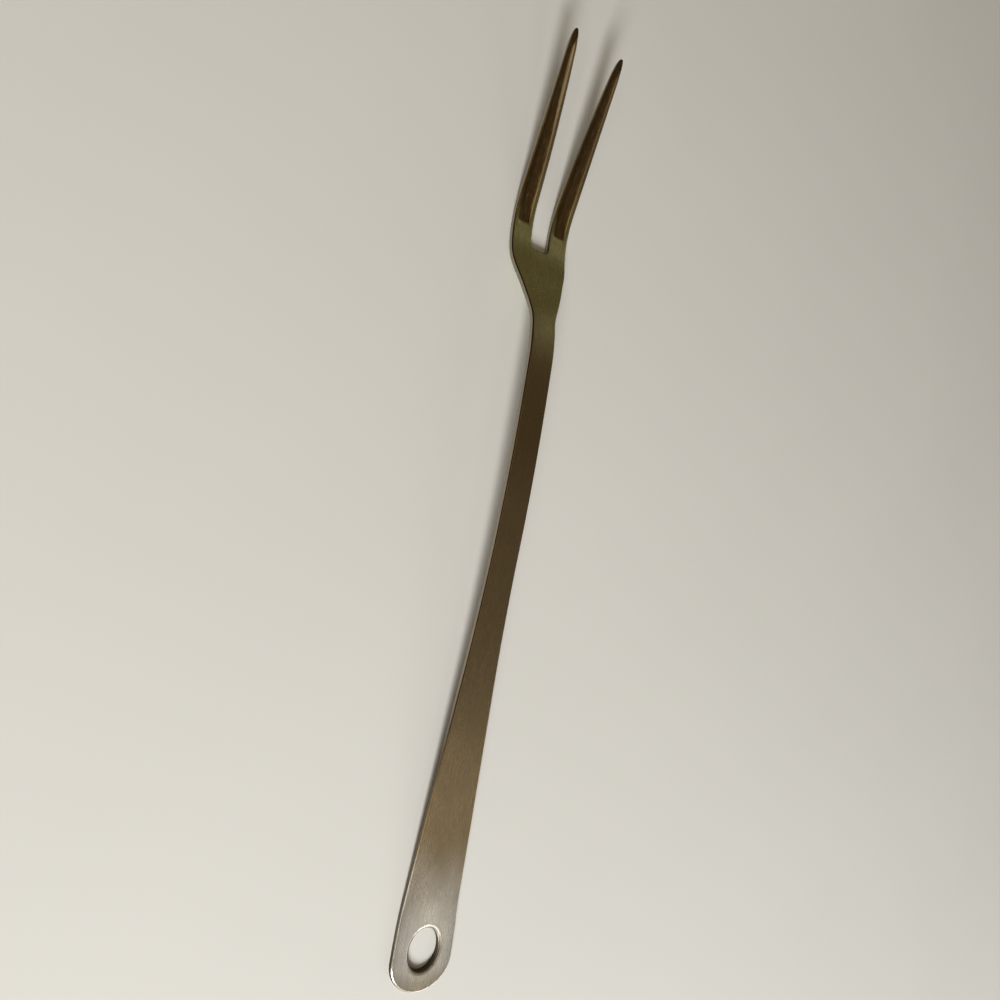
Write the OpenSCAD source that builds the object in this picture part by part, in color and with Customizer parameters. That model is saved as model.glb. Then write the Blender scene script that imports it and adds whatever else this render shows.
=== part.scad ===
// Carving fork with two tines, stamped and bent from one strip of stainless steel.
// The handle end is at -X, the points are at +X, and the table is at z = 0.
// The fork rests on its flat handle end and on the heel under the shoulder.
// In the functions, u is the distance from the handle end, measured along the table.

/* [Strip] */
// Overall length of the fork
overall_l = 330; // [315:1:345]
// Thickness of the strip
strip_t = 2; // [1.8:0.1:2.4]
// Radius that rounds the edges of the strip
edge_r = 0.6; // [0.4:0.05:0.8]

/* [Handle] */
// Greatest width of the handle
handle_w = 24.4; // [22:0.2:26]
// Length of the rounded handle end
end_l = 10.5; // [9:0.5:12]
// Distance from the handle end to where the handle starts to narrow
taper_from = 18.5; // [12:0.5:24]
// Length over which the handle narrows to the shank
taper_l = 110; // [95:1:120]
// Length of the flat eye piece that holds the hanging hole
eye_l = 24.5; // [24:0.5:28]
// Angle at which the handle rises from the table
handle_angle = 4.4; // [4:0.1:5]

/* [Hanging hole] */
// Length of the oval hole along the handle
hole_l = 14.1; // [12:0.1:15]
// Width of the oval hole
hole_w = 12.1; // [10:0.1:13]
// Distance of the hole's centre from the handle end
hole_u = 14.1; // [13.8:0.1:14.6]
// Width of the dished rim round the hole
dish_w = 2.6; // [1.6:0.1:2.8]
// Depth of the dished rim at the hole's edge
dish_d = 0.45; // [0.3:0.05:0.8]

/* [Shank] */
// Width of the shank where the handle's taper ends
shank_w = 11.6; // [10:0.1:12.6]
// Width of the neck, where the shoulder starts
neck_w = 10.5; // [9:0.1:11]
// Height of the shank's top face at the crown of the arch
crown_h = 13.5; // [12.5:0.1:14.5]
// Length of the soft bend from the handle into the crown
crown_bend_l = 54; // [44:1:60]
// Length of the soft bend from the crown into the neck
neck_bend_l = 30; // [24:1:32]

/* [Shoulder] */
// Width over both tines
head_w = 25.4; // [23:0.2:27]
// Distance from the start of the shoulder's flanks to the points
flank_back = 97.5; // [95:0.5:100]
// Angle between a flank of the shoulder and the fork's axis
flank_angle = 20.4; // [18.4:0.5:24.4]
// Angle at which the neck drops to the table
neck_angle = 24.5; // [23:0.5:27]
// Distance from the heel's corner to the points
heel_back = 69; // [67:0.5:71]
// Length of the soft bend at the heel
heel_bend_l = 28; // [24:1:30]

/* [Tines] */
// Length of the slot between the tines
slot_l = 72; // [70:0.5:74]
// Width of the slot at its closed end
slot_w = 7.9; // [7.1:0.1:9]
// Corner radius at the closed end of the slot
slot_r = 1.8; // [1.2:0.1:2.8]
// Angle at which the tines rise from the table
tine_angle = 14.6; // [13:0.2:17]
// Width of a tine where its point starts to round in
point_w = 3; // [2.4:0.1:3.6]
// Length of the rounded point
point_l = 8.5; // [6:0.5:10]
// Thickness of a tine at its point
point_t = 1.2; // [1:0.1:1.5]
// Depth of the trough pressed along each tine
trough_d = 0.45; // [0.2:0.05:0.6]
// Distance from the blunt end of the trough to the points
trough_back = 64.8; // [60:0.2:66]

/* [Hidden] */

handle_colour = [0.60, 0.56, 0.49];
shank_colour = [0.42, 0.37, 0.27];
shoulder_colour = [0.37, 0.34, 0.24];
tine_colour = [0.45, 0.41, 0.34];

// Cuts between the zones of the one strip
handle_end_u = 120;
neck_run = 9;
neck_u = overall_l - flank_back - neck_run;
root_run = 2;
root_u = max(overall_l - heel_back, overall_l - slot_l + slot_r) + root_run;

// Slopes and soft bends of the strip seen from the side
handle_slope = tan(handle_angle);
neck_slope = tan(neck_angle);
tine_slope = tan(tine_angle);
end_bend_l = 6;
end_bend = handle_slope * end_bend_l / 2;
crown_bend = handle_slope * crown_bend_l / 2;
neck_bend = neck_slope * neck_bend_l / 2;
heel_bend = (neck_slope + tine_slope) * heel_bend_l / 2;
bend_skew = (neck_slope - tine_slope) / (neck_slope + tine_slope);
heel_u = overall_l - heel_back;
heel_corner_z = strip_t - heel_bend * (1 - bend_skew * bend_skew) / 4;
rise_u = eye_l + end_bend_l / 2;

// Places and blends seen from above
taper_to = taper_from + taper_l;
flank_u = overall_l - flank_back;
slot_u = overall_l - slot_l;
trough_u = max(overall_l - trough_back, root_u + 1);
taper_top_blend = 0.5;
taper_end_blend = 1.3;
corner_blend = 1;
tine_taper_power = 1.75;
// Share of the point's length that is left at the very tip, so that the tip isn't a sharp edge
tip_share = 0.012;
// Power of the rounded point's outline, which is an ellipse at 2 and blunter above it
nose_power = 2.5;
// Thickness of the tip as a share of the point's
tip_thin = 0.5;

// Shares of a tine's flat top that the trough's floor and its mouth take, at its blunt end and at the point
root_floor_share = 0.45;
point_floor_share = 0.12;
root_mouth_share = 0.74;
point_mouth_share = 0.92;
// Largest edge radius as a share of a tine's thickness or half its width
edge_limit = 0.4;
// Lengths over which the trough deepens at its blunt end and fades at the point
trough_end_l = 1.2;
trough_fade_l = 10;

// How sharply the dished rim rolls down towards the hole
dish_power = 3;
// Small bevel round the underside of the hanging hole
hole_bevel = 0.3;
// Length by which the cutting tools stand out of the strip
clearance = 1;

// Fineness of the curved stretches
edge_steps = 3;
dish_steps = 6;
point_steps = 9;
outline_step = 5;
corner_step = 18;
slope_step = 0.01;
run_step = 4;
bend_step = 2;
tine_step = 2.5;

function mix(a, b, share) = a + (b - a) * share;
function clamped(share) = min(max(share, 0), 1);
function smooth(share) = let (s = clamped(share)) s * s * (3 - 2 * s);

// Larger of two heights, with a parabola of height blend / 4 over their corner
function soft_max(a, b, blend) = max(a, b) + pow(max(blend - abs(a - b), 0), 2) / (4 * blend);
function soft_min(a, b, blend) = -soft_max(-a, -b, blend);

// Height of the strip's top face: flat end, rising handle, level crown, dropping neck, rising tines
function rise_line(u) = strip_t + handle_slope * (u - rise_u);
function drop_line(u) = heel_corner_z - neck_slope * (u - heel_u);
function tine_line(u) = heel_corner_z + tine_slope * (u - heel_u);
function handle_z(u) = soft_max(strip_t, rise_line(u), end_bend);
function crown_z(u) = soft_min(handle_z(u), crown_h, crown_bend);
function arch_z(u) = soft_min(crown_z(u), drop_line(u), neck_bend);
function top_z(u) = soft_max(arch_z(u), tine_line(u), heel_bend);
function slope(u) = (top_z(u + slope_step) - top_z(u - slope_step)) / (2 * slope_step);

// Half of the strip's width, without the slot
function taper_line(u) = mix(handle_w, shank_w, (u - taper_from) / taper_l) / 2;
function wide_end(u) = soft_min(taper_line(u), handle_w / 2, taper_top_blend);
function handle_half(u) = soft_max(wide_end(u), shank_w / 2, taper_end_blend);
function waist(u) = clamped((u - taper_to) / (flank_u - taper_to));
function bar_half(u) = handle_half(u) - waist(u) * (shank_w - neck_w) / 2;
function flank_half(u) = neck_w / 2 + tan(flank_angle) * (u - flank_u);
function flared_half(u) = soft_max(bar_half(u), flank_half(u), corner_blend);
function blank_half(u) = soft_min(flared_half(u), head_w / 2, corner_blend);

// Width of one tine, with the rounded point and the round corners of the slot
function tine_share(u) = clamped((u - slot_u) / slot_l);
function tine_w(u) = mix((head_w - slot_w) / 2, point_w, pow(tine_share(u), tine_taper_power));
function point_left(u) = max(min((overall_l - u) / point_l, 1), tip_share);
function nose(u) = pow(1 - pow(1 - point_left(u), nose_power), 1 / nose_power);
function corner_left(u) = clamped((slot_u + slot_r - u) / slot_r);
function slot_corner(u) = slot_r * (1 - sqrt(1 - pow(corner_left(u), 2)));
function tine_mid(u) = head_w / 2 - tine_w(u) / 2;
function tine_outer(u) = min(blank_half(u), tine_mid(u) + tine_w(u) * nose(u) / 2);
function tine_inner(u) = tine_mid(u) - tine_w(u) * nose(u) / 2 - slot_corner(u);
function thinning(u) = clamped((u - root_u) / (overall_l - point_l - root_u));
function tine_t(u) = mix(strip_t, point_t, thinning(u)) * mix(tip_thin, 1, nose(u));
function trough_start(u) = smooth((u - trough_u) / trough_end_l);
function trough(u) = trough_d * trough_start(u) * smooth((overall_l - u) / trough_fade_l);
function trough_run(u) = clamped((u - trough_u) / (overall_l - trough_u));
function trough_floor(u) = mix(root_floor_share, point_floor_share, trough_run(u));
function trough_mouth(u) = mix(root_mouth_share, point_mouth_share, trough_run(u));

// Quarter round of an edge, from its side to its face, as [inset, depth] pairs
function round_over(r) =
    [for (i = [0:edge_steps]) let (a = 90 * i / edge_steps) [r * (1 - cos(a)), r * (1 - sin(a))]];

// Section of the strip between y_low and y_high, as [y, depth below the top face] pairs
function section(y_low, y_high, t, r, groove = [], sole = []) =
    let (over = round_over(r), n = edge_steps)
    concat(
        [for (i = [0:n]) [y_low + over[i].x, over[i].y]],
        groove,
        [for (i = [n:-1:0]) [y_high - over[i].x, over[i].y]],
        [for (i = [0:n]) [y_high - over[i].x, t - over[i].y]],
        sole,
        [for (i = [n:-1:0]) [y_low + over[i].x, t - over[i].y]]
    );

// The section stood square to the strip at u
function ring(u, points) =
    let (m = slope(u), length = sqrt(1 + m * m))
    [for (p = points) [u + p.y * m / length, p.x, top_z(u) - p.y / length]];

function full_ring(u) = ring(u, section(-blank_half(u), blank_half(u), strip_t, edge_r));
function trough_section(mid, mouth, floor, depth) =
    [[mid - mouth, 0], [mid - floor, depth], [mid + floor, depth], [mid + mouth, 0]];
function tine_ring(u) =
    let (low = tine_inner(u), high = tine_outer(u), half = (high - low) / 2, t = tine_t(u),
         r = min(edge_r, edge_limit * t, edge_limit * half), flat = half - r)
    ring(u, section(low, high, t, r, trough_section(
        (low + high) / 2, flat * trough_mouth(u), flat * trough_floor(u), trough(u))));

// The neck's section has a point on each face at c, where the edge of the slot meets the face
function neck_ring(u, c) =
    ring(u, section(-blank_half(u), blank_half(u), strip_t, edge_r,
                    [[-c, 0], [c, 0]], [[c, strip_t], [-c, strip_t]]));
function left_root(u) = ring(u, section(tine_inner(u), blank_half(u), strip_t, edge_r));
function right_root(u) = ring(u, section(-blank_half(u), -tine_inner(u), strip_t, edge_r));

// Faces between rings that have n points each, the first of them at index first
function sides(first, n, rings) =
    [for (i = [0:rings - 2]) for (j = [0:n - 1]) let (a = first + i * n, b = a + n, k = (j + 1) % n)
        each [[a + j, a + k, b + j], [a + k, b + k, b + j]]];
function start_face(first, n) = [[for (j = [n - 1:-1:0]) first + j]];
function end_face(first, n) = [[for (j = [0:n - 1]) first + j]];

// Closed solid through a list of rings
module skin(rings) {
    n = len(rings[0]);
    faces = concat(sides(0, n, len(rings)), start_face(0, n), end_face((len(rings) - 1) * n, n));
    polyhedron(points = [for (r = rings) each r], faces = faces, convexity = 8);
}

// Moves the middle of the fork's length to the origin
module place() {
    translate([-overall_l / 2, 0, 0]) children();
}

// Points spread from u_first to u_last in equal steps near the wanted one
function spread(u_first, u_last, step) =
    let (n = ceil((u_last - u_first) / step)) [for (i = [0:n]) mix(u_first, u_last, i / n)];

// Outline of the handle end, one step past the cut where the handle goes on
function eye_outline() =
    let (side = spread(end_l, eye_l + run_step, run_step), n = len(side) - 1)
    concat(
        [for (i = [n:-1:1]) [side[i], -handle_half(side[i])]],
        [for (a = [0:outline_step:180]) [end_l - end_l * sin(a), -handle_half(end_l) * cos(a)]],
        [for (i = [1:n]) [side[i], handle_half(side[i])]]
    );

// Outline of the hanging hole, clockwise seen from above
function hole_outline() =
    [for (a = [0:outline_step:360 - outline_step]) [hole_u + hole_l / 2 * cos(a), -hole_w / 2 * sin(a)]];

// Closed outline moved by d along its normals, to the left of its direction of travel
function moved(points, d) =
    let (n = len(points))
    [for (i = [0:n - 1])
        let (t = points[(i + 1) % n] - points[(i + n - 1) % n], length = norm(t))
        points[i] + [-t.y, t.x] * d / length];

function at_height(points, z) = [for (p = points) [p.x, p.y, z]];

// Flat eye with rounded edges, cut square where the handle starts
module eye_plate() {
    outline = eye_outline();
    over = round_over(edge_r);
    n = edge_steps;
    low = [for (i = [n:-1:0]) at_height(moved(outline, -over[i].x), over[i].y)];
    high = [for (i = [0:n]) at_height(moved(outline, -over[i].x), strip_t - over[i].y)];
    intersection() {
        skin(concat(low, high));
        translate([-clearance, -handle_w, -clearance])
            cube([eye_l + clearance, 2 * handle_w, strip_t + 2 * clearance]);
    }
}

// Tool that cuts the oval hole and rolls its upper rim down into a dish
module hole_tool() {
    outline = hole_outline();
    dish = [for (i = [0:dish_steps]) let (s = i / dish_steps)
        at_height(moved(outline, dish_w * s), strip_t - dish_d * pow(1 - s, dish_power))];
    skin(concat(
        [at_height(moved(outline, hole_bevel + clearance), -clearance), at_height(outline, hole_bevel)],
        dish,
        [at_height(moved(outline, dish_w), strip_t + clearance)]
    ));
}

module hanging_eye() {
    color(handle_colour) place() difference() {
        eye_plate();
        hole_tool();
    }
}

module handle() {
    color(handle_colour) place() skin([for (u = spread(eye_l, handle_end_u, run_step)) full_ring(u)]);
}

module shank() {
    color(shank_colour) place() skin([for (u = spread(handle_end_u, neck_u, run_step)) full_ring(u)]);
}

// Stations along the roots of the tines, close together round the corners of the slot
function root_stations() = concat(
    [for (a = [0:corner_step:90]) slot_u + slot_r * (1 - cos(a))],
    spread(slot_u + slot_r + clearance, root_u, bend_step)
);

// Wall at the closed end of the slot, between the inner edges of the two roots' first rings
function slot_wall(left_at, right_at) =
    let (n = edge_steps + 1)
    [concat(
        [for (j = [3 * n - 1:-1:n]) right_at + j],
        [for (j = [n - 1:-1:0]) left_at + j],
        [for (j = [4 * n - 1:-1:3 * n]) left_at + j]
    )];

// Neck and flanks up to the slot, which go on as the roots of the two tines
module shoulder() {
    c = tine_inner(slot_u) + round_over(edge_r)[edge_steps].x;
    stations = root_stations();
    neck = [for (u = concat(spread(neck_u, slot_u - bend_step, bend_step), [slot_u])) neck_ring(u, c)];
    left = [for (u = stations) left_root(u)];
    right = [for (u = stations) right_root(u)];
    n_neck = len(neck[0]);
    n_root = len(left[0]);
    left_at = len(neck) * n_neck;
    right_at = left_at + len(left) * n_root;
    faces = concat(
        start_face(0, n_neck),
        sides(0, n_neck, len(neck)),
        slot_wall(left_at, right_at),
        sides(left_at, n_root, len(left)),
        end_face(right_at - n_root, n_root),
        sides(right_at, n_root, len(right)),
        end_face(right_at + (len(right) - 1) * n_root, n_root)
    );
    color(shoulder_colour) place()
        polyhedron(points = [for (r = concat(neck, left, right)) each r], faces = faces, convexity = 8);
}

// Stations along a tine, close together at the trough's blunt end and at the point
function tine_stations() = concat(
    spread(root_u, trough_u, 1),
    spread(trough_u + trough_end_l / 4, trough_u + trough_end_l, trough_end_l / 4),
    spread(trough_u + trough_end_l + tine_step, overall_l - point_l, tine_step),
    [for (i = [1:point_steps]) overall_l - point_l * (1 - sin(90 * i / point_steps))]
);

module left_tine() {
    color(tine_colour) place() skin([for (u = tine_stations()) tine_ring(u)]);
}

module right_tine() {
    color(tine_colour) place() mirror([0, 1, 0]) skin([for (u = tine_stations()) tine_ring(u)]);
}

hanging_eye();
handle();
shank();
shoulder();
left_tine();
right_tine();
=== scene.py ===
"""Carving fork with two tines, stamped and bent from one strip of stainless steel, on a pale table."""
import math
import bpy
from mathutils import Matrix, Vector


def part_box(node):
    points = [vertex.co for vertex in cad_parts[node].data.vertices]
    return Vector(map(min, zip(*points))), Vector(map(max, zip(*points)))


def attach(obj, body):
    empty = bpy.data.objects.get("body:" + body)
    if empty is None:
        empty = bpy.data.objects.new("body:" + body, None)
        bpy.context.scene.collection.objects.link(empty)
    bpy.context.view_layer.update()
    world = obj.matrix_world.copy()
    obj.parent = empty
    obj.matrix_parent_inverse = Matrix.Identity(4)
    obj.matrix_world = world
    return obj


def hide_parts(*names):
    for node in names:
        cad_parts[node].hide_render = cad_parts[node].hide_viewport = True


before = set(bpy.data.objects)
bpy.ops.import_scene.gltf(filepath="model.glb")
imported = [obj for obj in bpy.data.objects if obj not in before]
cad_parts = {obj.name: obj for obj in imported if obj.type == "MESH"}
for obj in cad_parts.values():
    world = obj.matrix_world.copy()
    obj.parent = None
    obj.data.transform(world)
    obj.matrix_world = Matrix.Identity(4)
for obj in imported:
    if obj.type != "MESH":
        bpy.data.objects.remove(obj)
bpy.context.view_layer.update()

from types import SimpleNamespace

import bmesh
import bpy
import numpy as np
from mathutils import Vector

bl_info = {
    "name": "Carving fork",
    "version": (1, 0, 0),
    "blender": (4, 5, 0),
    "location": "3D view, sidebar, Fork tab",
    "description": "Builds a carving fork from a flat blank that is rolled at its edges, bent and pressed",
    "category": "Add Mesh",
}

MM = 0.001
EYE_LOW, EYE_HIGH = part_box("hanging_eye")
TINE_LOW, TINE_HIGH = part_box("left_tine")
OVERALL = -2 * EYE_LOW.x
STRIP = EYE_HIGH.z - EYE_LOW.z
HEAD = 2 * TINE_HIGH.y


# Sizes and colours that a user would change

def length(name, metres, description):
    return bpy.props.FloatProperty(
        name=name, description=description, default=metres, min=0.0, precision=5, unit="LENGTH"
    )


def angle(name, degrees, description):
    return bpy.props.FloatProperty(
        name=name, description=description, default=math.radians(degrees), min=0.0, max=1.2, unit="ROTATION"
    )


def linear(code):
    """Linear colour of an sRGB hex code such as #CBC8C2."""
    shares = [int(code[i:i + 2], 16) / 255 for i in (1, 3, 5)]
    return [c / 12.92 if c <= 0.04045 else ((c + 0.055) / 1.055) ** 2.4 for c in shares]


def colour(name, code, description):
    return bpy.props.FloatVectorProperty(
        name=name, description=description, default=linear(code), size=3, min=0.0, max=1.0, subtype="COLOR"
    )


class PressSizes(bpy.types.PropertyGroup):
    """How the flat blank is bent and pressed. Each one is an input of the tree that does it."""

    overall_length: length("Overall length", OVERALL, "Length of the fork along the table")
    strip_thickness: length("Strip thickness", STRIP, "Thickness of the steel strip")
    rise_start: length("Rise start", 27.5 * MM, "Distance from the handle end to where the handle rises")
    rise_bend: length("Rise bend", 6 * MM, "Length of the bend where the handle rises")
    handle_angle: angle("Handle angle", 4.4, "Angle at which the handle rises")
    crown_height: length("Crown height", 13.5 * MM, "Height of the top face at the crown of the arch")
    crown_bend: length("Crown bend", 54 * MM, "Length of the bend from the handle into the crown")
    neck_angle: angle("Neck angle", 24.5, "Angle at which the neck drops to the table")
    neck_bend: length("Neck bend", 30 * MM, "Length of the bend from the crown into the neck")
    heel_distance: length("Heel distance", 69 * MM, "Distance from the heel's corner to the points")
    heel_bend: length("Heel bend", 28 * MM, "Length of the bend at the heel")
    tine_angle: angle("Tine angle", 14.6, "Angle at which the tines rise")
    point_length: length("Point length", 8.5 * MM, "Length of the rounded point of a tine")
    point_thickness: length("Point thickness", 1.2 * MM, "Thickness of a tine where its point starts")
    trough_depth: length("Trough depth", 0.45 * MM, "Depth of the trough pressed along each tine")
    trough_distance: length("Trough distance", 64.8 * MM, "Distance from the trough's blunt end to the points")
    trough_end: length("Trough end", 1.2 * MM, "Length over which the trough deepens at its blunt end")
    trough_fade: length("Trough fade", 10 * MM, "Length over which the trough fades towards the point")


class OutlineSizes(bpy.types.PropertyGroup):
    """Outline of the flat blank, seen from above."""

    edge_radius: length("Edge radius", 0.6 * MM, "Radius that rounds the blanked edges")
    handle_width: length("Handle width", 24.4 * MM, "Greatest width of the handle")
    end_length: length("End length", 10.5 * MM, "Length of the rounded handle end")
    eye_length: length("Eye length", 24.5 * MM, "Length of the flat eye piece")
    taper_start: length("Taper start", 18.5 * MM, "Distance from the handle end to where it narrows")
    taper_length: length("Taper length", 110 * MM, "Length over which the handle narrows")
    hole_length: length("Hole length", 14.1 * MM, "Length of the oval hanging hole")
    hole_width: length("Hole width", 12.1 * MM, "Width of the oval hanging hole")
    hole_distance: length("Hole distance", 14.1 * MM, "Distance of the hole's centre from the handle end")
    dish_width: length("Dish width", 2.6 * MM, "Width of the dished rim round the hole")
    dish_depth: length("Dish depth", 0.45 * MM, "Depth of the dished rim at the hole's edge")
    handle_end: length("Handle end", 120 * MM, "Distance from the handle end to the shank")
    shank_width: length("Shank width", 11.6 * MM, "Width of the shank where the taper ends")
    neck_start: length("Neck start", 223.5 * MM, "Distance from the handle end to the shoulder piece")
    neck_width: length("Neck width", 10.5 * MM, "Width of the neck at the shoulder's flanks")
    head_width: length("Head width", HEAD, "Width over both tines")
    flank_distance: length("Flank distance", 97.5 * MM, "Distance from the flanks' start to the points")
    flank_angle: angle("Flank angle", 20.4, "Angle between a flank of the shoulder and the axis")
    root_distance: length("Root distance", 67 * MM, "Distance from the cut at the tines' roots to the points")
    slot_length: length("Slot length", 72 * MM, "Length of the slot between the tines")
    slot_width: length("Slot width", 7.9 * MM, "Width of the slot at its closed end")
    slot_radius: length("Slot radius", 1.8 * MM, "Corner radius at the closed end of the slot")
    point_width: length("Point width", 3 * MM, "Width of a tine where its point rounds in")


class FinishColours(bpy.types.PropertyGroup):
    """Colours of the steel, of what years of use left on it, and of the shade painted on it."""

    steel: colour("Steel", "#ECE8DF", "What bare stainless steel reflects face on")
    patina: colour("Patina", "#9B896A", "Warm film that handling and heat left on the handle and shank")
    olive: colour("Olive", "#C8C690", "Yellow-green heat film on the neck, shoulder and tines")
    residue_and_shade: colour("Residue", "#6E5A3C", "Burnt fat that stays in the troughs of the tines")
    # This colour also paints shade on the side of each tine away from the light and on the rim of the hanging hole
    sheared: colour("Sheared edge", "#A9A08F", "What the rough blanked edge reflects")
    # This colour also paints shade on the blanked edges, the rolled edges and the rim of the hanging hole
    grime_and_shade: colour("Grime", "#352E24", "Dirt in the pores of the blanked edge, at the handle end and the tines")


class StageColours(bpy.types.PropertyGroup):
    """Colours of the table and of the light."""

    table: colour("Table", "#CBCCCA", "Pale matt table top")
    surroundings: colour("Surroundings", "#5D5341", "Dim room that the steel reflects")
    light: colour("Light", "#FFFEFB", "Soft studio light")
    fill: colour("Fill light", "#FFE1BC", "Warmer light from above that fills the shadows")


# Nodes

def add(tree, kind, settings, inputs):
    """Adds a node with its settings. An input is a value, a socket or a Rule."""
    node = tree.nodes.new(kind)
    for key, value in settings.items():
        setattr(node, key, value)
    for key, value in inputs.items():
        value = value.socket if isinstance(value, Rule) else value
        if isinstance(value, bpy.types.NodeSocket):
            tree.links.new(value, node.inputs[key])
        else:
            node.inputs[key].default_value = value
    return node


class Rule:
    """A number that nodes work out, so that a tree can be written as a formula."""

    def __init__(self, tree, socket):
        self.tree, self.socket = tree, socket

    def math(self, operation, other=0.0, clamp=False):
        settings = {"operation": operation, "use_clamp": clamp}
        return Rule(self.tree, add(self.tree, "ShaderNodeMath", settings, {0: self, 1: other}).outputs[0])

    def __add__(self, other):
        return self.math("ADD", other)

    def __sub__(self, other):
        return self.math("SUBTRACT", other)

    def __rsub__(self, other):
        return self.math("MULTIPLY", -1.0) + other

    def __mul__(self, other):
        return self.math("MULTIPLY", other)

    def __truediv__(self, other):
        return self.math("DIVIDE", other)

    __radd__ = __add__
    __rmul__ = __mul__

    def eased(self, low, high, to_low=0.0, to_high=1.0):
        """This number taken from low to high, to a smooth step from to_low to to_high."""
        settings = {"interpolation_type": "SMOOTHSTEP"}
        inputs = {0: self, 1: low, 2: high, 3: to_low, 4: to_high}
        return Rule(self.tree, add(self.tree, "ShaderNodeMapRange", settings, inputs).outputs[0])


def soft_larger(a, b, blend):
    """Larger of two heights, with a parabola over their corner."""
    near = (blend - (a - b).math("ABSOLUTE")).math("MAXIMUM", 0.0)
    return a.math("MAXIMUM", b) + near * near / (4 * blend)


def soft_smaller(a, b, blend):
    return 0.0 - soft_larger(0.0 - a, 0.0 - b, blend)


def size_rows():
    """Identifier, name, default and unit of each size that the press tree takes."""
    rows = [p for p in PressSizes.bl_rna.properties if p.type == "FLOAT"]
    return [(p.identifier, p.name, p.default, "ANGLE" if p.unit == "ROTATION" else "DISTANCE") for p in rows]


def tree_with_sizes(name, taken, given):
    """Geometry tree that takes one socket and a named socket for each size, and gives one socket."""
    tree = bpy.data.node_groups.new(name, "GeometryNodeTree")
    tree.interface.new_socket(name=given[0], in_out="OUTPUT", socket_type=given[1])
    tree.interface.new_socket(name=taken[0], in_out="INPUT", socket_type=taken[1])
    for identifier, title, default, subtype in size_rows():
        socket = tree.interface.new_socket(name=title, in_out="INPUT", socket_type="NodeSocketFloat")
        socket.subtype = subtype
        socket.default_value = default
    return tree


def sizes_of(tree, entry):
    return SimpleNamespace(**{row[0]: Rule(tree, entry.outputs[row[1]]) for row in size_rows()})


def height_tree():
    """Height of the strip's top face: flat end, rising handle, level crown, dropping neck, rising tines."""
    tree = tree_with_sizes("Strip height", ("Distance", "NodeSocketFloat"), ("Height", "NodeSocketFloat"))
    entry = tree.nodes.new("NodeGroupInput")
    s = sizes_of(tree, entry)
    u = Rule(tree, entry.outputs["Distance"])
    rise, drop, lift = (a.math("TANGENT") for a in (s.handle_angle, s.neck_angle, s.tine_angle))
    heel_bend = (drop + lift) * s.heel_bend / 2
    skew = (drop - lift) / (drop + lift)
    heel_z = s.strip_thickness - heel_bend * (1 - skew * skew) / 4
    past_heel = u - (s.overall_length - s.heel_distance)
    z = soft_larger(s.strip_thickness, s.strip_thickness + rise * (u - s.rise_start), rise * s.rise_bend / 2)
    z = soft_smaller(z, s.crown_height, rise * s.crown_bend / 2)
    z = soft_smaller(z, heel_z - drop * past_heel, drop * s.neck_bend / 2)
    z = soft_larger(z, heel_z + lift * past_heel, heel_bend)
    add(tree, "NodeGroupOutput", {}, {"Height": z})
    return tree


def press_tree(steel, sheared):
    """Bends the flat blank along the fork's side view, thins the points and presses the troughs."""
    height = height_tree()
    tree = tree_with_sizes("Press the blank", ("Blank", "NodeSocketGeometry"), ("Fork", "NodeSocketGeometry"))
    entry = tree.nodes.new("NodeGroupInput")
    s = sizes_of(tree, entry)
    place = add(tree, "GeometryNodeInputPosition", {}, {}).outputs[0]
    parts = add(tree, "ShaderNodeSeparateXYZ", {}, {0: place}).outputs
    u, y, depth = Rule(tree, parts[0]), Rule(tree, parts[1]), 0.0 - Rule(tree, parts[2])

    def height_at(distance):
        inputs = {row[1]: entry.outputs[row[1]] for row in size_rows()}
        node = add(tree, "GeometryNodeGroup", {"node_tree": height}, {})
        for title, socket in inputs.items():
            tree.links.new(socket, node.inputs[title])
        tree.links.new(distance.socket, node.inputs["Distance"])
        return Rule(tree, node.outputs["Height"])

    step = 0.5 * MM
    slope = (height_at(u + step) - height_at(u - step)) / (2 * step)
    stretch = (slope * slope + 1.0).math("SQRT")

    left = s.overall_length - u
    root = s.overall_length - ROOT_DISTANCE
    thinning = ((u - root) / (s.overall_length - s.point_length - root)).math("ADD", 0.0, clamp=True)
    thin = 1 - thinning * (1 - s.point_thickness / s.strip_thickness)
    blunt = 1 - (left / s.point_length).math("MINIMUM", 1.0).math("MAXIMUM", TIP_SHARE)
    nose = (1 - blunt.math("POWER", NOSE_POWER)).math("POWER", 1 / NOSE_POWER)
    start = (u - (s.overall_length - s.trough_distance)).eased(0.0, s.trough_end)
    named = add(tree, "GeometryNodeInputNamedAttribute", {"data_type": "FLOAT"}, {"Name": "press"})
    trough = Rule(tree, named.outputs[0]) * start * left.eased(0.0, s.trough_fade)
    pressed = depth * thin * (nose * 0.5 + 0.5) + trough * s.trough_depth

    x = u + pressed * slope / stretch - s.overall_length / 2
    z = height_at(u) - pressed / stretch
    bent = add(tree, "ShaderNodeCombineXYZ", {}, {0: x, 1: y, 2: z}).outputs[0]
    settings = {"data_type": "FLOAT", "domain": "POINT"}
    inputs = {"Geometry": entry.outputs["Blank"], "Name": "trough", "Value": trough}
    noted = add(tree, "GeometryNodeStoreNamedAttribute", settings, inputs)
    moved = add(tree, "GeometryNodeSetPosition", {}, {"Geometry": noted.outputs[0], "Position": bent})
    real = add(tree, "GeometryNodeRealizeInstances", {}, {"Geometry": moved.outputs[0]})
    faces = add(tree, "GeometryNodeSetMaterial", {}, {"Geometry": real.outputs[0], "Material": steel})
    wall = add(tree, "GeometryNodeInputNamedAttribute", {"data_type": "BOOLEAN"}, {"Name": "sheared"})
    edge = {"Geometry": faces.outputs[0], "Material": sheared, "Selection": wall.outputs[0]}
    add(tree, "NodeGroupOutput", {}, {"Fork": add(tree, "GeometryNodeSetMaterial", {}, edge).outputs[0]})
    return tree


# Outline of the flat blank. u is the distance from the handle end

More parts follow.
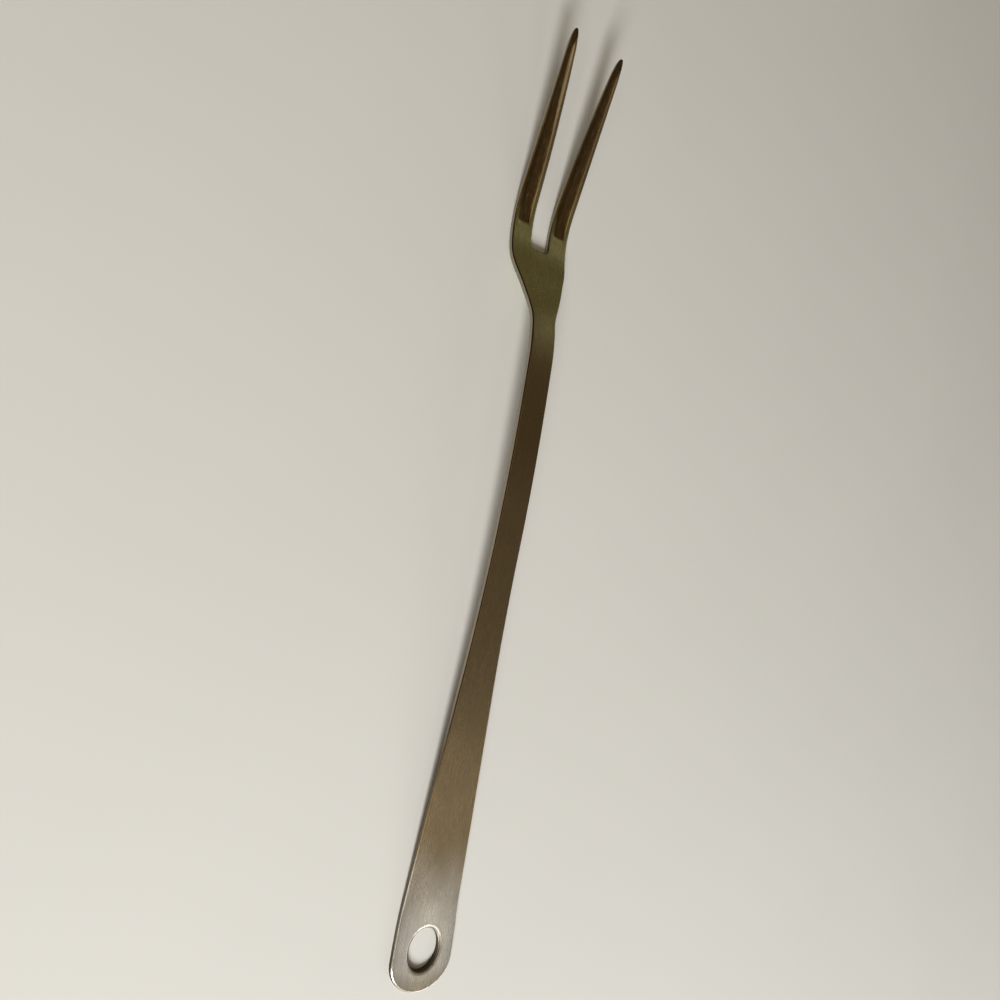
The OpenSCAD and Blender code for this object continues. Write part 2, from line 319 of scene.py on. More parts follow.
ROOT_DISTANCE = 67 * MM
TIP_SHARE = 0.012
NOSE_POWER = 2.5
DISH_POWER = 3
TAPER_POWER = 1.75
BLEND = 1 * MM
EDGE_LIMIT = 0.4
STEP = 1 * MM
# Width of the band of painted shade round the rim of the hanging hole
LIP_SHADE_WIDTH = 0.75 * MM
BAR_COLUMNS = 16


def mix(a, b, share):
    return a + (b - a) * share


def clamped(share):
    return min(max(share, 0.0), 1.0)


def smooth(share):
    s = clamped(share)
    return s * s * (3 - 2 * s)


def soft_max(a, b, blend):
    return max(a, b) + max(blend - abs(a - b), 0.0) ** 2 / (4 * blend)


def soft_min(a, b, blend):
    return -soft_max(-a, -b, blend)


def handle_half(u, s):
    """Half of the handle's width, which narrows in a straight line with soft corners."""
    line = mix(s.handle_width, s.shank_width, (u - s.taper_start) / s.taper_length) / 2
    return soft_max(soft_min(line, s.handle_width / 2, BLEND / 2), s.shank_width / 2, 1.3 * BLEND)


def blank_half(u, s):
    """Half of the blank's width: handle, shank with its slight waist, flanks and head."""
    flank = OVERALL - s.flank_distance
    taper_end = s.taper_start + s.taper_length
    waist = clamped((u - taper_end) / (flank - taper_end))
    bar = handle_half(u, s) - waist * (s.shank_width - s.neck_width) / 2
    flared = soft_max(bar, s.neck_width / 2 + math.tan(s.flank_angle) * (u - flank), BLEND)
    return soft_min(flared, s.head_width / 2, BLEND)


def tine_edges(u, s):
    """Inner and outer edge of a tine at u, with the rounded point."""
    share = clamped((u - (OVERALL - s.slot_length)) / s.slot_length)
    width = mix((s.head_width - s.slot_width) / 2, s.point_width, share ** TAPER_POWER)
    blunt = 1 - max(min((OVERALL - u) / bpy.context.scene.fork_press.point_length, 1.0), TIP_SHARE)
    half = width / 2 * (1 - blunt ** NOSE_POWER) ** (1 / NOSE_POWER)
    middle = s.head_width / 2 - width / 2
    return middle - half, min(middle + half, blank_half(u, s))


def spread(low, high, step):
    n = max(math.ceil((high - low) / step - 1e-6), 1)
    return [mix(low, high, i / n) for i in range(n + 1)]


class Patch:
    """Part of the flat blank: the points of its faces, and the rims at which its edge is rolled over."""

    def __init__(self):
        self.points, self.press, self.stain, self.faces, self.rims = [], [], [], [], []

    def row(self, u, ys, press=None, stain=None):
        first = len(self.points)
        self.points += [(u, y) for y in ys]
        self.press += press or [0.0] * len(ys)
        self.stain += stain or [0.0] * len(ys)
        return list(range(first, len(self.points)))

    def join(self, low, high):
        """Fills the faces between two rows with the same number of points."""
        self.faces += list(zip(low, high, high[1:], low[1:]))

    def rim(self, path, profile, rolls=None, closed=False):
        """Rolls the edge over along a path that keeps the metal on its left."""
        self.rims.append((path, profile, rolls or [1.0] * len(path), closed))


def rolled_edge(s, t):
    """Profile of the edge, as distances outwards and downwards from the edge of the top face."""
    r, turns = s.edge_radius, [math.radians(a) for a in (18, 36, 54, 72, 90)]
    upper = [(0.0, 0.0)] + [(r * math.sin(a), r - r * math.cos(a)) for a in turns]
    lower = [(out, t - depth) for out, depth in reversed(upper)]
    return upper + lower


def dished_edge(s, t):
    """Profile of the hanging hole: dished rim, small round, straight wall and a bevel underneath."""
    bevel, small = 0.3 * MM, 0.2 * MM
    reach = s.dish_width - small
    dish = [(reach * i / 12, s.dish_depth * (reach * i / 12 / s.dish_width) ** DISH_POWER) for i in range(13)]
    low, slope = dish[-1][1], DISH_POWER * s.dish_depth / s.dish_width
    turn = [(reach + small * math.sin(a), low + small * (1 - math.cos(a) + slope * math.sin(a)))
            for a in (math.radians(a) for a in (18, 36, 54, 72, 90))]
    end = [(s.dish_width, t - 2 * bevel), (s.dish_width - 0.1 * bevel, t - bevel / 2),
           (s.dish_width - bevel / 2, t - 0.1 * bevel), (s.dish_width - bevel, t), (0.0, t)]
    return dish + turn + end


def outward(points, closed, cuts):
    """Unit normals to the right of the path. At a cut they stand square to the fork's axis."""
    n = len(points)
    normals = []
    for i, (u, _) in enumerate(points):
        a, b = (i - 1, (i + 1) % n) if closed else (max(i - 1, 0), min(i + 1, n - 1))
        du, dy = points[b][0] - points[a][0], points[b][1] - points[a][1]
        size = math.hypot(du, dy)
        at_cut = any(abs(u - cut) < 1e-7 for cut in cuts)
        normals.append((0.0, math.copysign(1.0, -du)) if at_cut else (dy / size, -du / size))
    return normals


def blank_mesh(name, patch, thickness, cuts):
    """Closed flat blank of the strip's thickness, with its top face at z = 0."""
    n = len(patch.points)
    verts = [(u, y, 0.0) for u, y in patch.points] + [(u, y, -thickness) for u, y in patch.points]
    along = [u for u, _ in patch.points] * 2
    press = patch.press + [0.0] * n
    stain = patch.stain + [0.0] * n
    down = [0.0] * n + [thickness] * n
    edge, roll_width = [0.0] * (2 * n), bpy.context.scene.fork_outline.edge_radius
    faces = patch.faces + [tuple(n + i for i in reversed(face)) for face in patch.faces]
    sheared = [False] * len(faces)
    for path, profile, rolls, closed in patch.rims:
        places = [patch.points[i] for i in path]
        normals = outward(places, closed, cuts)
        rings = [path]
        reach = max(out for out, _ in profile)
        for out, depth in profile[1:-1]:
            rings.append(list(range(len(verts), len(verts) + len(path))))
            verts += [(u + out * roll * nu, y + out * roll * ny, -depth)
                      for (u, y), (nu, ny), roll in zip(places, normals, rolls)]
            along += [u for u, _ in places]
            press += [0.0] * len(path)
            down += [depth] * len(path)
            edge += [clamped(1 - (reach - out) / roll_width)] * len(path)
            # Painted shade: a dark band round the rim of the hanging hole, where the surface turns down steeply and
            # reflects the dim room
            lip_shade = smooth((out - reach + LIP_SHADE_WIDTH) / (0.3 * MM))
            stain += [lip_shade if closed else patch.stain[i] for i in path]
        rings.append([n + i for i in path])
        outs = [out for out, _ in profile]
        for upper, lower, out_a, out_b in zip(rings, rings[1:], outs, outs[1:]):
            ends = (upper[:1], lower[:1]) if closed else ([], [])
            high, low = upper + ends[0], lower + ends[1]
            made = [(d, c, b, a) for a, b, c, d in zip(high, high[1:], low[1:], low)]
            faces += made
            sheared += [min(out_a, out_b) > (reach - 0.41 * MM if closed else 0.92 * reach)] * len(made)
    mesh = bpy.data.meshes.new(name)
    mesh.from_pydata(verts, [], faces)
    for title, kind, domain, values in (
        ("along", "FLOAT", "POINT", along), ("press", "FLOAT", "POINT", press), ("edge", "FLOAT", "POINT", edge),
        ("stain", "FLOAT", "POINT", stain), ("down", "FLOAT", "POINT", down), ("sheared", "BOOLEAN", "FACE", sheared),
    ):
        mesh.attributes.new(title, kind, domain).data.foreach_set("value", values)
    return mesh


def full_row(patch, u, s):
    half = blank_half(u, s) - s.edge_radius
    return patch.row(u, [half * (2 * j / BAR_COLUMNS - 1) for j in range(BAR_COLUMNS + 1)])


def bar_patch(low, high, s, t):
    """Plain stretch of the strip between two cuts, one step longer at each end."""
    patch = Patch()
    rows = [full_row(patch, u, s) for u in [low - STEP] + spread(low, high, STEP) + [high + STEP]]
    for a, b in zip(rows, rows[1:]):
        patch.join(a, b)
    patch.rim([r[0] for r in rows], rolled_edge(s, t))
    patch.rim([r[-1] for r in reversed(rows)], rolled_edge(s, t))
    return patch


def eye_patch(s, t):
    """Flat eye: rings of faces between the dished hole and the round end, and one step past the cut."""
    patch, r, cut = Patch(), s.edge_radius, s.eye_length
    half = handle_half(s.end_length, s) - r
    sides = spread(s.end_length, cut, STEP)[::-1]
    right = [(u, r - handle_half(u, s)) for u in sides]
    turn = [math.pi * i / 90 for i in range(1, 90)]
    curve = []
    for a in turn:
        nu, ny = -math.sin(a) / s.end_length, -math.cos(a) / (half + r)
        size = math.hypot(nu, ny)
        curve.append((s.end_length * (1 - math.sin(a)) - r * nu / size, -(half + r) * math.cos(a) - r * ny / size))
    left = [(u, -y) for u, y in reversed(right)]
    cut_ys = [left[-1][1] * (1 - 2 * j / BAR_COLUMNS) for j in range(1, BAR_COLUMNS)]
    outer = right + curve + left + [(cut, y) for y in cut_ys]
    a, b = s.hole_length / 2, s.hole_width / 2
    inner = []
    for u, y in outer:
        turned = math.atan2(y / b, (u - s.hole_distance) / a)
        nu, ny = math.cos(turned) / a, math.sin(turned) / b
        size = math.hypot(nu, ny)
        inner.append((s.hole_distance + a * math.cos(turned) + s.dish_width * nu / size,
                      b * math.sin(turned) + s.dish_width * ny / size))
    rings = []
    for share in (0.0, 0.25, 0.5, 0.75, 1.0):
        ring = [patch.row(mix(p[0], q[0], share), [mix(p[1], q[1], share)])[0] for p, q in zip(outer, inner)]
        rings.append(ring + ring[:1])
    for low, high in zip(rings, rings[1:]):
        patch.faces += list(zip(low, high, high[1:], low[1:]))
    ring = rings[0][:-1]
    ends = len(right) + len(curve) + len(left)
    joint = [ring[0]] + ring[:ends - 1:-1] + [ring[ends - 1]]
    beyond = full_row(patch, cut + STEP, s)
    patch.join(joint, beyond)
    patch.rim([beyond[-1]] + [ring[i] for i in range(ends - 1, -1, -1)] + [beyond[0]], rolled_edge(s, t))
    patch.rim(rings[-1][:-1], dished_edge(s, t), closed=True)
    return patch


def shoulder_patch(s, t):
    """Neck, flanks and the roots of the tines, with the slot's round corners."""
    patch, r = Patch(), s.edge_radius
    slot = OVERALL - s.slot_length
    corner = slot + s.slot_radius
    middle = tine_edges(slot, s)[0] - s.slot_radius
    side, across = 10, 8
    last = spread(s.neck_start, slot - r, STEP)

    def strip(u, inner, sign):
        outer = blank_half(u, s) - r
        ys = [mix(inner, outer, j / side) for j in range(side + 1)]
        return [-y for y in reversed(ys)] if sign < 0 else ys

    rows = []
    for u in [s.neck_start - STEP] + last:
        right, left = strip(u, middle, -1), strip(u, middle, 1)
        rows.append(patch.row(u, right + [middle * (2 * j / across - 1) for j in range(1, across)] + left))
    for a, b in zip(rows, rows[1:]):
        patch.join(a, b)
    turns = [math.radians(a) for a in range(9, 91, 9)]
    reach = s.slot_radius + r
    places = [(corner - reach * math.cos(a), middle + reach * math.sin(a)) for a in turns]
    places += [(u, tine_edges(u, s)[0] + r) for u in spread(corner, OVERALL - s.root_distance, STEP)[1:]]
    end = OVERALL - s.root_distance + STEP
    places.append((end, tine_edges(end, s)[0] + r))
    rights = [rows[-1][:side + 1]] + [patch.row(u, strip(u, inner, -1)) for u, inner in places]
    lefts = [rows[-1][-side - 1:]] + [patch.row(u, strip(u, inner, 1)) for u, inner in places]
    for strips in (rights, lefts):
        for a, b in zip(strips, strips[1:]):
            patch.join(a, b)
    edge = rolled_edge(s, t)
    patch.rim([q[0] for q in rows[:-1]] + [q[0] for q in rights], edge)
    patch.rim([q[-1] for q in reversed(lefts)] + [q[-1] for q in reversed(rows[:-1])], edge)
    closed_end = rows[-1][side + 1:-side - 1]
    patch.rim([q[-1] for q in reversed(rights)] + closed_end + [q[0] for q in lefts], edge)
    return patch


def trough_shares(u):
    """Places across a tine's top face, close together on the flanks of the trough, and how far each is pressed."""
    start = OVERALL - bpy.context.scene.fork_press.trough_distance
    run = clamped((u - start) / (OVERALL - start))
    floor, mouth = mix(0.45, 0.12, run), mix(0.74, 0.92, run)
    half = [0.0, floor / 3, floor / 1.5] + [mix(floor, mouth, i / 6) for i in range(7)] + [(mouth + 1) / 2, 1.0]
    shares = [-v for v in reversed(half[1:])] + half
    return shares, [smooth((mouth - abs(v)) / (mouth - floor)) for v in shares]


def tine_stain(u, shares, sign):
    """How far charred fat and painted shade darken each place across a tine. The side towards the light stays clean
    and the side away from it is painted dark, partly as shade; on the left tine the darkening draws back from the
    clean side towards the point."""
    start = OVERALL - bpy.context.scene.fork_press.trough_distance
    run = clamped((u - start) / (OVERALL - start))
    clean = mix(-0.6, 0.0, smooth((run - 0.35) / 0.55)) if sign > 0 else -0.6
    clean = mix(clean, -1.2, smooth((run - 0.9) / 0.08))
    begun = smooth((u - start) / (1.2 * MM))
    side = mix(0.35, 0.85, smooth(run / 0.25))
    return [begun * smooth((v - clean + 0.1) / 0.2) * mix(1.0, side, smooth((v - 0.62) / 0.2)) for v in shares]


def tine_patch(s, t, sign):
    """One tine, from the cut at its root to its rounded point."""
    patch = Patch()
    root, point = OVERALL - s.root_distance, OVERALL - bpy.context.scene.fork_press.point_length
    tip = [OVERALL - 0.14 * MM - bpy.context.scene.fork_press.point_length * (1 - math.sin(math.radians(a))) for a in range(5, 91, 5)]
    rows, rolls = [], []
    for u in [root - STEP] + spread(root, point, STEP) + tip[1:]:
        low, high = tine_edges(u, s)
        shares, press = trough_shares(u)
        half = (high - low) / 2
        roll = min(s.edge_radius, EDGE_LIMIT * half)
        ys = [(low + high) / 2 + (half - roll) * v for v in shares]
        if sign < 0:
            ys = [-y for y in reversed(ys)]
        rows.append(patch.row(u, ys, press, tine_stain(u, shares, sign)))
        rolls.append(roll / s.edge_radius)
    for a, b in zip(rows, rows[1:]):
        patch.join(a, b)
    path = [q[0] for q in rows] + rows[-1][1:-1] + [q[-1] for q in reversed(rows)]
    patch.rim(path, rolled_edge(s, t), rolls + [rolls[-1]] * (len(shares) - 2) + rolls[::-1])
    return patch


# Pieces

def press_blank(obj, tree):
    """Sends the flat blank through the press tree and keeps the result as a plain mesh."""
    modifier = obj.modifiers.new("Press the blank", "NODES")
    modifier.node_group = tree
    sockets = {i.name: i.identifier for i in tree.interface.items_tree if i.in_out == "INPUT"}
    for identifier, title, _, _ in size_rows():
        modifier[sockets[title]] = getattr(bpy.context.scene.fork_press, identifier)
    bpy.context.view_layer.update()
    solid = bpy.data.meshes.new_from_object(obj.evaluated_get(bpy.context.evaluated_depsgraph_get()))
    obj.modifiers.clear()
    flat, obj.data = obj.data, solid
    solid.name = flat.name
    bpy.data.meshes.remove(flat)


def surface_normals(mesh):
    """Normal of the surface at each vertex, weighed by area so that flat faces stay flat up to their rolled edge."""
    normals = np.zeros((len(mesh.vertices), 3))
    for face in mesh.polygons:
        normals[list(face.vertices)] += np.array(face.normal) * face.area
    return normals / np.linalg.norm(normals, axis=1)[:, None]


def trim(mesh, low, high):
    """Cuts the piece at its two ends, closes the cuts, and keeps the normals of the uncut strip."""
    kept = mesh.attributes.new("strip_normal", "FLOAT_VECTOR", "POINT")
    kept.data.foreach_set("vector", surface_normals(mesh).ravel())
    bm = bmesh.new()
    bm.from_mesh(mesh)
    along = bm.verts.layers.float["along"]
    past = [v for v in bm.verts if not low - 1e-6 < v[along] < high + 1e-6]
    bmesh.ops.delete(bm, geom=past, context="VERTS")
    open_edges = [e for e in bm.edges if e.is_boundary]
    caps = bmesh.ops.holes_fill(bm, edges=open_edges, sides=0)["faces"]
    for face in caps:
        face.material_index = 0
    bmesh.ops.recalc_face_normals(bm, faces=bm.faces)
    bm.faces.index_update()
    flat_faces = {face.index for face in caps}
    bm.to_mesh(mesh)
    bm.free()
    mesh.shade_smooth()
    stored = [Vector(v.vector) for v in mesh.attributes["strip_normal"].data]
    normals = [face.normal if face.index in flat_faces else stored[mesh.loops[i].vertex_index]
               for face in mesh.polygons for i in face.loop_indices]
    mesh.attributes.remove(mesh.attributes["strip_normal"])
    mesh.normals_split_custom_set(normals)


def lay_grain(mesh, thickness):
    """UV map with the length of the strip along U, for the direction of the brushing."""
    uv = mesh.uv_layers.new(name="Grain")
    along = mesh.attributes["along"].data
    for loop in mesh.loops:
        co = mesh.vertices[loop.vertex_index].co
        uv.data[loop.index].uv = (along[loop.vertex_index].value / OVERALL, co.y / OVERALL + 0.5)


def make_piece(name, node, patch, low, high):
    """Blank, press and trim one piece, and set it in place of its CAD node."""
    s = bpy.context.scene.fork_outline
    cuts = (s.eye_length, s.handle_end, s.neck_start, OVERALL - s.root_distance)
    thickness = bpy.context.scene.fork_press.strip_thickness
    obj = bpy.data.objects.new(name, blank_mesh(name, patch, thickness, cuts))
    bpy.context.scene.collection.objects.link(obj)
    steel, sheared = steel_material(), sheared_material()
    tree = bpy.data.node_groups.get("Press the blank") or press_tree(steel, sheared)
    press_blank(obj, tree)
    trim(obj.data, low, high)
    lay_grain(obj.data, thickness)
    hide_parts(node)
    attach(obj, "root")
    return obj


# Materials

def shader(name):
    """New material, with its tree and the surface shader that it ends in."""
    material = bpy.data.materials.new(name)
    material.use_nodes = True
    tree = material.node_tree
    tree.nodes.clear()
    surface = add(tree, "ShaderNodeBsdfPrincipled", {}, {"Metallic": 1.0})
    add(tree, "ShaderNodeOutputMaterial", {}, {"Surface": surface.outputs[0]})
    return material, tree, surface


def noise(tree, grain_mm, detail=2.0, turn=0.0):
    """Noise whose grains have that length, width and height in millimetres, turned about z."""
    place = add(tree, "ShaderNodeTexCoord", {}, {}).outputs["Object"]
    settings, inputs = {"vector_type": "POINT"}, {"Vector": place, "Rotation": (0.0, 0.0, turn)}
    turned = add(tree, "ShaderNodeMapping", settings, inputs).outputs[0]
    per_metre = [1 / (size * MM) for size in grain_mm]
    scaled = add(tree, "ShaderNodeMapping", settings, {"Vector": turned, "Scale": per_metre}).outputs[0]
    return Rule(tree, add(tree, "ShaderNodeTexNoise", {}, {"Vector": scaled, "Scale": 1.0, "Detail": detail}).outputs[0])


def noted(tree, name):
    """Value that the press tree or the blank left on the piece."""
    return Rule(tree, add(tree, "ShaderNodeAttribute", {"attribute_name": name}, {}).outputs["Fac"])


def blend_colours(tree, share, a, b):
    """Mix of two colours. A colour is a linear triple or a socket."""
    a, b = (c if isinstance(c, bpy.types.NodeSocket) else (*c, 1.0) for c in (a, b))
    settings = {"data_type": "RGBA", "blend_type": "MIX", "clamp_factor": True}
    return add(tree, "ShaderNodeMix", settings, {0: share, 6: a, 7: b}).outputs[2]


def steel_material():
    """Stainless steel brushed lengthwise and marked by years of use: streaks, fine scratches, heat film and charred
    fat. It also carries painted shade on the rim of the hanging hole, on the rolled edges and on the side of each
    tine away from the light, and a painted highlight on the handle end.
    """
    found = bpy.data.materials.get("brushed_stainless_steel")
    if found:
        return found
    colours = bpy.context.scene.fork_finish
    material, tree, surface = shader("brushed_stainless_steel")
    along, trough = noted(tree, "along") / OVERALL, noted(tree, "trough")
    place = add(tree, "ShaderNodeTexCoord", {}, {}).outputs["Object"]
    # Broad streaks and soft blotches that the eye sees from a distance
    streaks = noise(tree, (34.0, 0.9, 0.9), 3.0)
    clouds = noise(tree, (13.0, 7.0, 7.0), 3.0)
    # Lines of the brushing, drawn four times as wide as real ones so that they show, and their finer grain
    lines = noise(tree, (5.0, 0.42, 0.42), 2.0)
    grain = noise(tree, (7.0, 0.14, 0.14), 1.0)
    # Scratches of use that run nearly along the brushing and across it
    scratches = noise(tree, (20.0, 0.22, 0.22), 0.0, 0.16).eased(0.64, 0.7)
    crossing = noise(tree, (8.0, 0.25, 0.25), 0.0, -0.5).eased(0.68, 0.73)
    across = Rule(tree, add(tree, "ShaderNodeSeparateXYZ", {}, {0: place}).outputs[1]) / EYE_HIGH.y
    from_end = along + (clouds - 0.5) * 0.03
    # Patina from the handle into the shank. The bare bright steel at the handle end is partly a painted highlight,
    # where the lamp's reflection pools on the eye, and the second term paints shade on the very end below the hole
    patina_sheen_and_shade = from_end.eased(0.047, 0.165) + along.eased(0.03, 0.005) * 0.6
    base = blend_colours(tree, patina_sheen_and_shade, colours.steel, colours.patina)
    base = blend_colours(tree, along.eased(0.63, 0.745) * (streaks * 0.5 + 0.7), base, colours.olive)
    base = blend_colours(tree, along.eased(0.8, 0.88) * 0.5, base, colours.steel)
    base = blend_colours(tree, along.eased(0.8, 0.88) * (clouds * 0.3 + 0.45), base, colours.patina)
    stain = noted(tree, "stain")
    # Charred fat in the troughs, with painted shade on the side of each tine away from the light and on the rim of
    # the hanging hole
    burnt_and_shaded = stain.eased(0.1, 0.8) * (streaks * 1.1 + lines * 0.5 + 0.2)
    base = blend_colours(tree, burnt_and_shaded, base, colours.residue_and_shade)
    # Painted shade: darkens the rim of the hanging hole further, where it turns down and reflects the dim room
    base = blend_colours(tree, stain * along.eased(0.12, 0.1), base, colours.grime_and_shade)
    edge = noted(tree, "edge")
    # Painted shade: a dark line on the rolled edges along the shank and shoulder, where the rounded corner reflects
    # the dim room
    painted_edge_shade = edge.eased(0.25, 0.7) * along.eased(0.16, 0.3) * along.eased(0.86, 0.78)
    base = blend_colours(tree, painted_edge_shade, base, colours.grime_and_shade)
    rubbed = edge * along.eased(0.15, 0.07) * (streaks * 0.6 + 0.6)
    base = blend_colours(tree, rubbed, base, colours.steel)
    # Painted sheen: the middle of the handle end is painted brighter and its sides darker, where the lamp's broad
    # highlight spreads across the brushing
    painted_sheen = 1.0 + along.eased(0.13, 0.07) * (0.08 - across * across * 0.5)
    worn_and_sheen = (1.0 - (lines - 0.5) * 0.38 - (clouds - 0.5) * 0.35 - scratches * 0.12) * painted_sheen
    scaled = {"operation": "SCALE"}
    base = add(tree, "ShaderNodeVectorMath", scaled, {0: base, "Scale": worn_and_sheen}).outputs[0]
    tree.links.new(base, surface.inputs["Base Color"])
    rough = 0.15 + streaks * 0.08 + clouds * 0.1 + lines * 0.08 + scratches * 0.08 + trough * 0.15 + edge * 0.06
    tree.links.new(rough.socket, surface.inputs["Roughness"])
    surface.inputs["Anisotropic"].default_value = 0.7
    surface.inputs["Anisotropic Rotation"].default_value = 0.25
    vector = {"vector_type": "VECTOR", "convert_from": "OBJECT", "convert_to": "WORLD"}
    lengthwise = add(tree, "ShaderNodeVectorTransform", vector, {0: (1.0, 0.013, 0.02)}).outputs[0]
    tree.links.new(lengthwise, surface.inputs["Tangent"])
    relief = grain * 0.4 + lines * 0.3 + streaks * 0.25 + clouds * 0.6 - scratches * 0.45 - crossing * 0.3
    bump = add(tree, "ShaderNodeBump", {}, {"Strength": 0.6, "Distance": 0.02 * MM, "Height": relief * (1 - edge * 0.5)})
    tree.links.new(bump.outputs[0], surface.inputs["Normal"])
    return material


def sheared_material():
    """Blanked edge of the strip, sheared upright by the press, and painted darker towards the handle end: partly dirt
    in its pores, partly painted shade where the edge sits low over the table.
    """
    found = bpy.data.materials.get("sheared_stainless_edge")
    if found:
        return found
    colours = bpy.context.scene.fork_finish
    material, tree, surface = shader("sheared_stainless_edge")
    along = noted(tree, "along") / OVERALL
    tears = noise(tree, (0.25, 0.25, 1.0))
    clouds = noise(tree, (9.0, 9.0, 2.0))
    # At the handle end the cut's lower half and a line under the rolled corner are painted dark: partly the rough
    # fracture zone, partly painted contact shadow under the edge and a painted reflection of the dim room
    down = noted(tree, "down") / MM
    torn_and_shaded = down.eased(1.15, 1.35) * 0.7 + down.eased(0.5, 0.6) * down.eased(0.85, 0.75) * 0.7
    # Darker towards the handle end and round the hanging hole: partly dirt, partly painted shade where the edge sits
    # low over the table
    dirt_and_shade = along.eased(0.34, 0.2) * (torn_and_shaded + 0.35) + along.eased(0.07, 0.03) * 0.3
    base = blend_colours(tree, dirt_and_shade + clouds * 0.25, colours.sheared, colours.grime_and_shade)
    tree.links.new(base, surface.inputs["Base Color"])
    tree.links.new((0.36 + tears * 0.16 + clouds * 0.08).socket, surface.inputs["Roughness"])
    bump = add(tree, "ShaderNodeBump", {}, {"Strength": 0.5, "Distance": 0.02 * MM, "Height": tears})
    tree.links.new(bump.outputs[0], surface.inputs["Normal"])
    return material


def table_material():
    """Matt pale table top, with faint clouds so that it isn't a dead flat tone."""
    material, tree, surface = shader("matt_table_top")
    surface.inputs["Metallic"].default_value = 0.0
    surface.inputs["Roughness"].default_value = 0.75
    table = Vector(bpy.context.scene.fork_stage.table)
    clouds = noise(tree, (110.0, 110.0, 110.0), 3.0)
    base = blend_colours(tree, clouds, table * 0.97, table * 1.03)
    tree.links.new(base, surface.inputs["Base Color"])
    return material


# Operators

class FORK_OT_hanging_eye(bpy.types.Operator):
    """Makes the flat handle end with its dished hanging hole"""

    bl_idname = "fork.hanging_eye"
    bl_label = "Hanging eye"

    def execute(self, context):
        s, t = context.scene.fork_outline, context.scene.fork_press.strip_thickness
        make_piece("hanging_eye_steel", "hanging_eye", eye_patch(s, t), 0.0, s.eye_length)
        return {"FINISHED"}


class FORK_OT_bars(bpy.types.Operator):
    """Makes the tapering handle and the arched shank"""

    bl_idname = "fork.bars"
    bl_label = "Handle and shank"

    def execute(self, context):
        s, t = context.scene.fork_outline, context.scene.fork_press.strip_thickness
        for node, low, high in (("handle", s.eye_length, s.handle_end), ("shank", s.handle_end, s.neck_start)):
            make_piece(node + "_steel", node, bar_patch(low, high, s, t), low, high)
        return {"FINISHED"}


class FORK_OT_shoulder(bpy.types.Operator):
    """Makes the neck and the shoulder that spreads to the two tines"""

    bl_idname = "fork.shoulder"
    bl_label = "Shoulder"

    def execute(self, context):
        s, t = context.scene.fork_outline, context.scene.fork_press.strip_thickness
        make_piece("shoulder_steel", "shoulder", shoulder_patch(s, t), s.neck_start, OVERALL - s.root_distance)
        return {"FINISHED"}


class FORK_OT_tines(bpy.types.Operator):
    """Makes the two tapering tines with their pressed troughs"""

    bl_idname = "fork.tines"
    bl_label = "Tines"

    def execute(self, context):
        s, t = context.scene.fork_outline, context.scene.fork_press.strip_thickness
        for node, sign in (("left_tine", 1), ("right_tine", -1)):
            make_piece(node + "_steel", node, tine_patch(s, t, sign), OVERALL - s.root_distance, OVERALL)
        return {"FINISHED"}


def softbox(name, tone, azimuth, elevation, distance, width, height, radiance):
    """Area light that faces the fork. The azimuth runs from the handle end towards the right of the picture.
    Radiance is what it looks like when the steel reflects it."""
    light = bpy.data.lights.new(name, "AREA")
    light.shape = "RECTANGLE"
    light.size, light.size_y = width, height
    light.energy = radiance * math.pi * width * height
    light.color = tone
    obj = bpy.data.objects.new(name, light)
    turn, rise = math.radians(azimuth), math.radians(elevation)
    toward = Vector((-math.cos(turn) * math.cos(rise), -math.sin(turn) * math.cos(rise), math.sin(rise)))
    obj.location = toward * distance
    obj.rotation_mode = "QUATERNION"
    obj.rotation_quaternion = toward.to_track_quat("Z", "Y")
    bpy.context.scene.collection.objects.link(obj)
    return obj


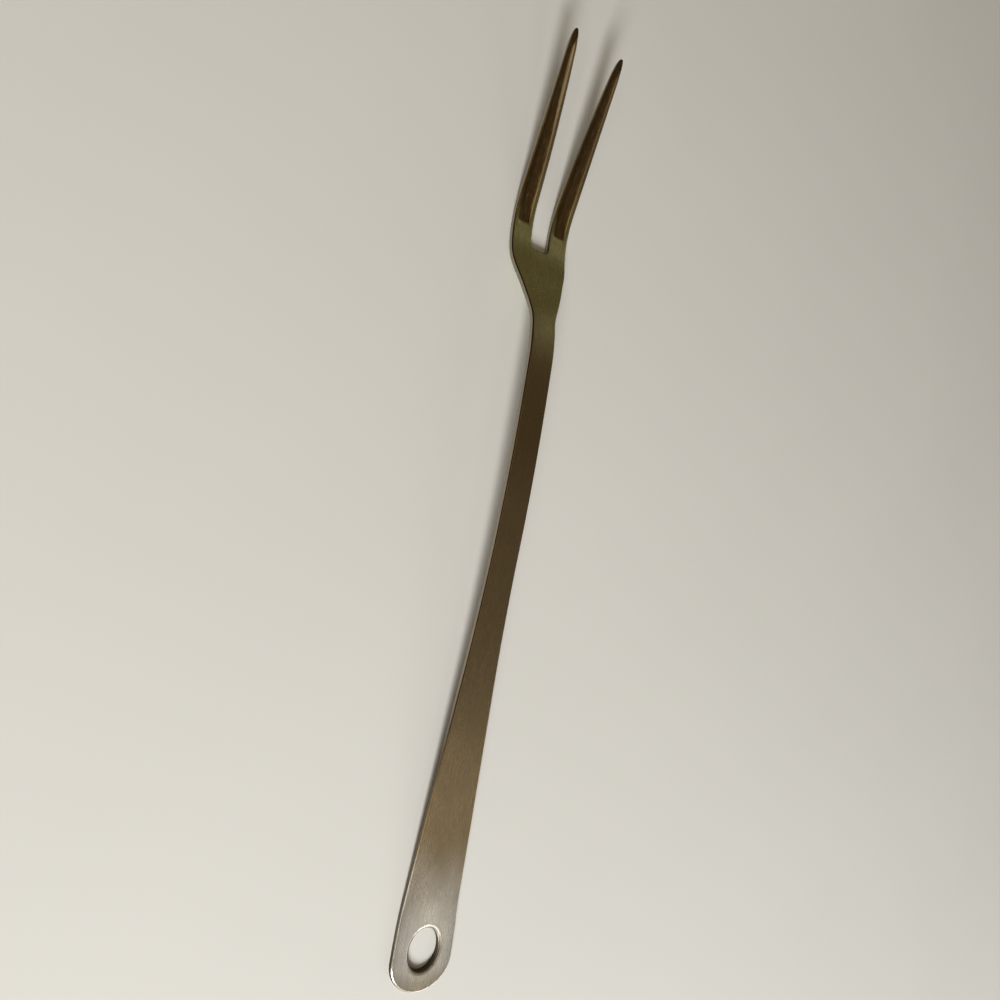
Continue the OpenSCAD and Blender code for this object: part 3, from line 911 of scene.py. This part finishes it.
class FORK_OT_stage(bpy.types.Operator):
    """Makes the pale table, the soft light, the dim room and the camera at the photo's viewing angle"""

    bl_idname = "fork.stage"
    bl_label = "Table, light and camera"

    def execute(self, context):
        scene, stage = context.scene, context.scene.fork_stage
        mesh = bpy.data.meshes.new("table_top")
        wide = 3.0
        mesh.from_pydata([(-wide, -wide, 0), (wide, -wide, 0), (wide, wide, 0), (-wide, wide, 0)], [], [(0, 1, 2, 3)])
        mesh.materials.append(table_material())
        table = bpy.data.objects.new("table_top", mesh)
        scene.collection.objects.link(table)

        softbox("key_softbox", stage.light, -21.5, 32, 1.6, 0.35, 0.65, 47.0)
        softbox("top_softbox", stage.fill, -75, 58, 1.6, 1.2, 1.2, 0.8)
        softbox("lamp_softbox", stage.light, 50, 47, 1.5, 0.3, 0.3, 0.9)
        softbox("end_softbox", stage.light, 38, 16, 1.5, 0.5, 0.5, 4.4)
        softbox("corner_softbox", stage.light, -60, 36, 1.5, 0.16, 0.2, 8.0)
        softbox("rim_softbox", stage.light, 15, 42, 1.5, 0.35, 0.35, 3.2)
        softbox("low_softbox", stage.light, 65, 15, 1.5, 0.6, 0.6, 1.1)
        softbox("shank_softbox", stage.light, 78, 45, 1.5, 0.6, 0.6, 0.1)
        softbox("neck_softbox", stage.light, 122, 30, 1.5, 0.6, 0.6, 0.2)

        world = bpy.data.worlds.new("dim_room")
        world.use_nodes = True
        tree = world.node_tree
        tree.nodes.clear()
        back = add(tree, "ShaderNodeBackground", {}, {"Color": (*stage.surroundings, 1.0), "Strength": 1.0})
        add(tree, "ShaderNodeOutputWorld", {}, {"Surface": back.outputs[0]})
        scene.world = world

        camera = bpy.data.cameras.new("photo_camera")
        camera.sensor_width = 36.0
        camera.lens = 31.82
        camera.clip_start, camera.clip_end = 0.01, 20.0
        eye = bpy.data.objects.new("photo_camera", camera)
        eye.location = (-0.02063, 0.19033, 0.24371)
        eye.rotation_euler = [math.radians(a) for a in (-3.045, -38.467, -78.129)]
        scene.collection.objects.link(eye)
        scene.camera = eye
        scene.view_settings.view_transform = "Standard"
        return {"FINISHED"}


PIECES = (FORK_OT_hanging_eye, FORK_OT_bars, FORK_OT_shoulder, FORK_OT_tines, FORK_OT_stage)
GROUPS = {"fork_press": PressSizes, "fork_outline": OutlineSizes, "fork_finish": FinishColours, "fork_stage": StageColours}


class FORK_PT_sidebar(bpy.types.Panel):
    """Sizes, colours and the buttons that make each piece"""

    bl_idname = "FORK_PT_sidebar"
    bl_label = "Carving fork"
    bl_space_type = "VIEW_3D"
    bl_region_type = "UI"
    bl_category = "Fork"

    def draw(self, context):
        for name, group in GROUPS.items():
            box = self.layout.box()
            for identifier in group.__annotations__:
                box.prop(getattr(context.scene, name), identifier)
        for piece in PIECES:
            self.layout.operator(piece.bl_idname)


CLASSES = (*GROUPS.values(), *PIECES, FORK_PT_sidebar)


def register():
    for cls in CLASSES:
        bpy.utils.register_class(cls)
    for name, group in GROUPS.items():
        setattr(bpy.types.Scene, name, bpy.props.PointerProperty(type=group))


def unregister():
    for name in GROUPS:
        delattr(bpy.types.Scene, name)
    for cls in reversed(CLASSES):
        bpy.utils.unregister_class(cls)


def main():
    register()
    for piece in PIECES:
        area, action = piece.bl_idname.split(".")
        getattr(getattr(bpy.ops, area), action)()


if __name__ == "__main__":
    main()
